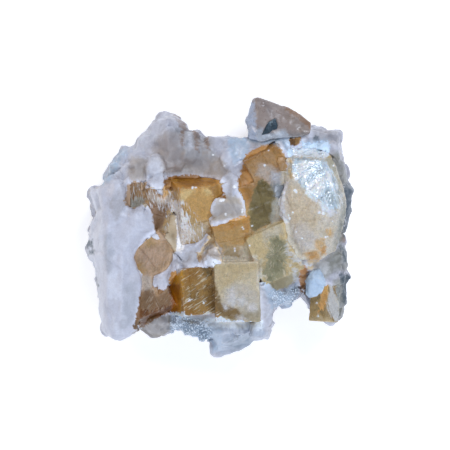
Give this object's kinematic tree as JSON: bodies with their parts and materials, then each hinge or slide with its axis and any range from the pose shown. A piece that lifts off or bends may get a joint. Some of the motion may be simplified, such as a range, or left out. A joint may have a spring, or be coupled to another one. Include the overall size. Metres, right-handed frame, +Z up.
{
  "type": "fluorite with calcite cluster",
  "caption": "Mineral hand specimen: honey and olive fluorite cubes with a broad pale crystal, half buried in white calcite.",
  "frame": {"origin": "middle of the flat break at the back, which is the underside as it lies", "axes": "+X across the specimen towards the great pale crystal, +Y towards the clear calcite block, +Z up out of the crystal side"},
  "size_m": [0.0909, 0.0872, 0.0395],
  "materials": {
    "calcite": "translucent white to lilac-grey calcite, satin cleavage faces and sugary broken flanks",
    "calcite_clear": "clear to smoky calcite block, glassy cleavage faces",
    "calcite_white": "opaque blue-white calcite, rough",
    "dark_mineral": "blue-black grain, dull metallic lustre",
    "fluorite_pale": "pale yellow see-through fluorite with a pearly cleavage area",
    "fluorite_honey": "honey, olive and pale yellow see-through fluorite, frosted in places",
    "fluorite_brown": "brown see-through fluorite, striated"
  },
  "bodies": {
    "root": {"calcite_matrix": "calcite", "calcite_block_clear": "calcite_clear", "calcite_chip_white": "calcite_white", "dark_grain": "dark_mineral", "fluorite_crystal_great": "fluorite_pale", "fluorite_cube_left_upper": "fluorite_brown", "fluorite_cubes_left_lower": "fluorite_brown", "fluorite_cubes_upper": "fluorite_honey", "fluorite_cubes_middle": "fluorite_honey", "fluorite_cube_corner": "fluorite_honey", "fluorite_cube_small": "fluorite_brown"}
  },
  "joints": []
}
